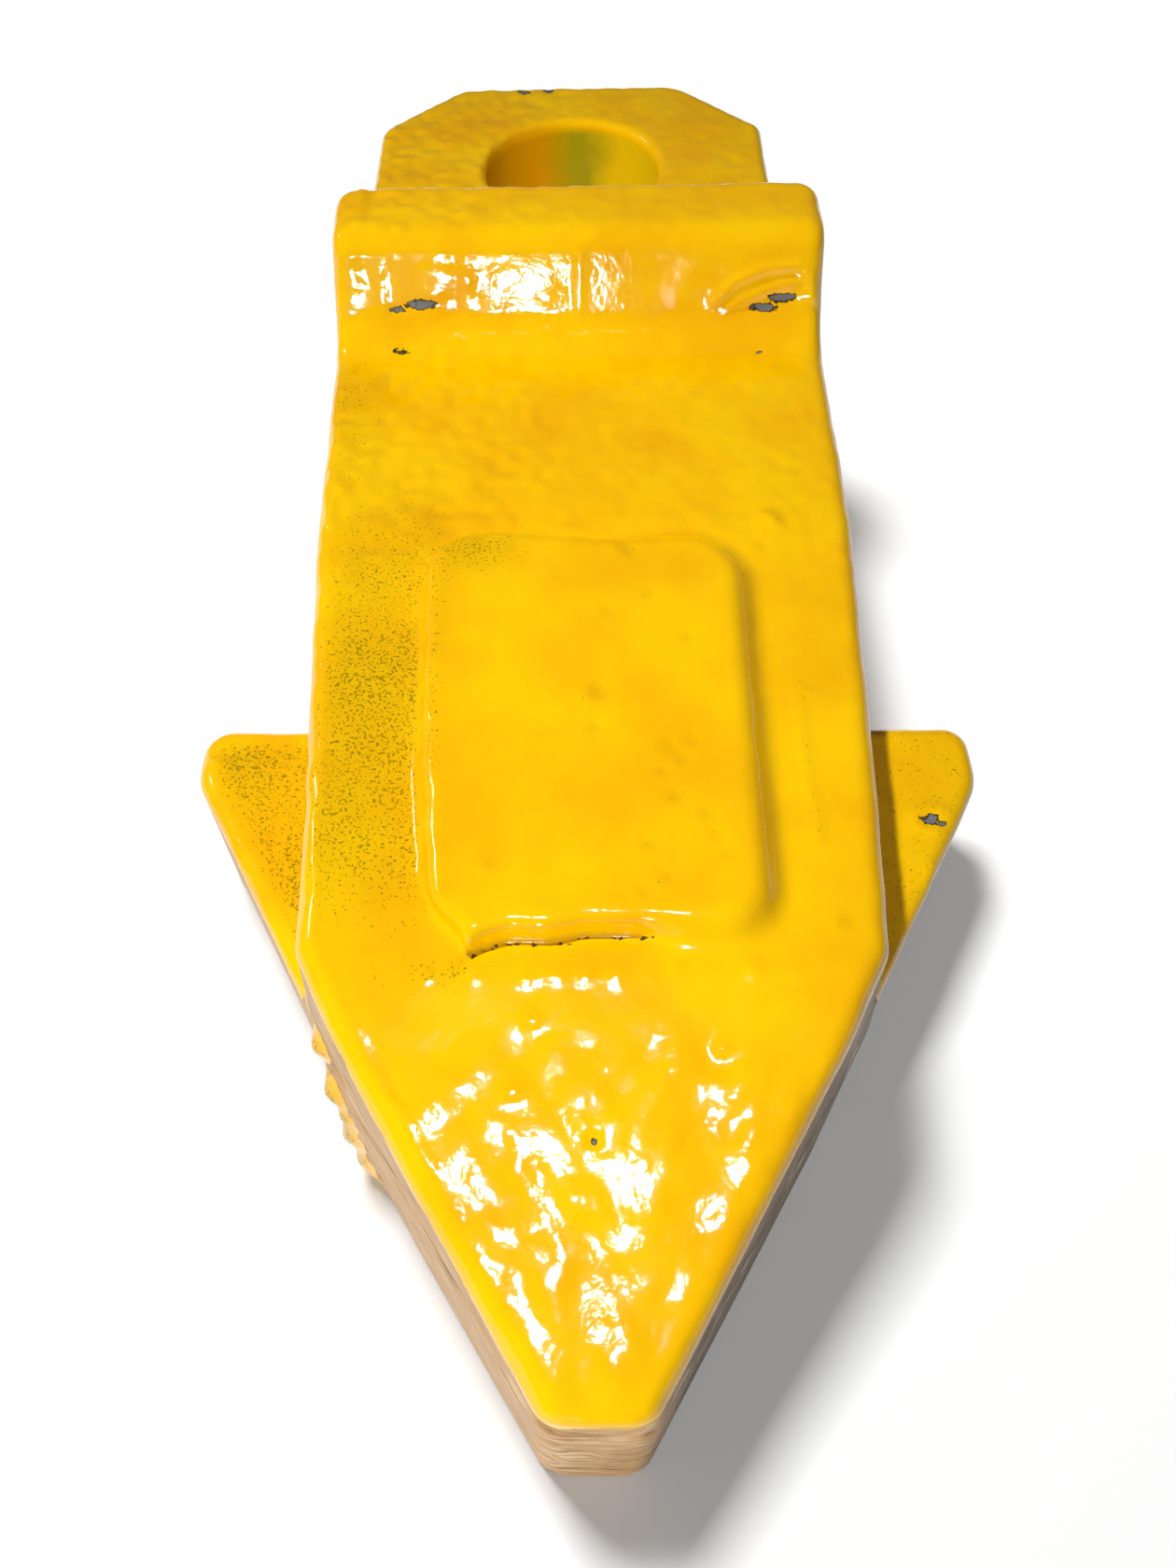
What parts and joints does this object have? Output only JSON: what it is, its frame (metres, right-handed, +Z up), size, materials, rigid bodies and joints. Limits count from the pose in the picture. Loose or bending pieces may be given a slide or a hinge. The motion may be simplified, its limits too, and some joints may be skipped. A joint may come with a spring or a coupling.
{
  "type": "crusher jaw tooth",
  "caption": "Cast arrow-shaped crusher tooth with two barbs, a raised deck with a pad, a cross rib and a pin lug with an upright eye; yellow enamel with bare ground walls.",
  "frame": {"origin": "centre of the footprint on the base plane", "axes": "+Z up from the base, +Y from the blunt nose towards the lug's end, +X across the tooth"},
  "size_m": [0.127, 0.2744, 0.07],
  "materials": {
    "enamel": "gloss"
  },
  "bodies": {
    "root": {"tooth": "enamel"}
  },
  "joints": []
}
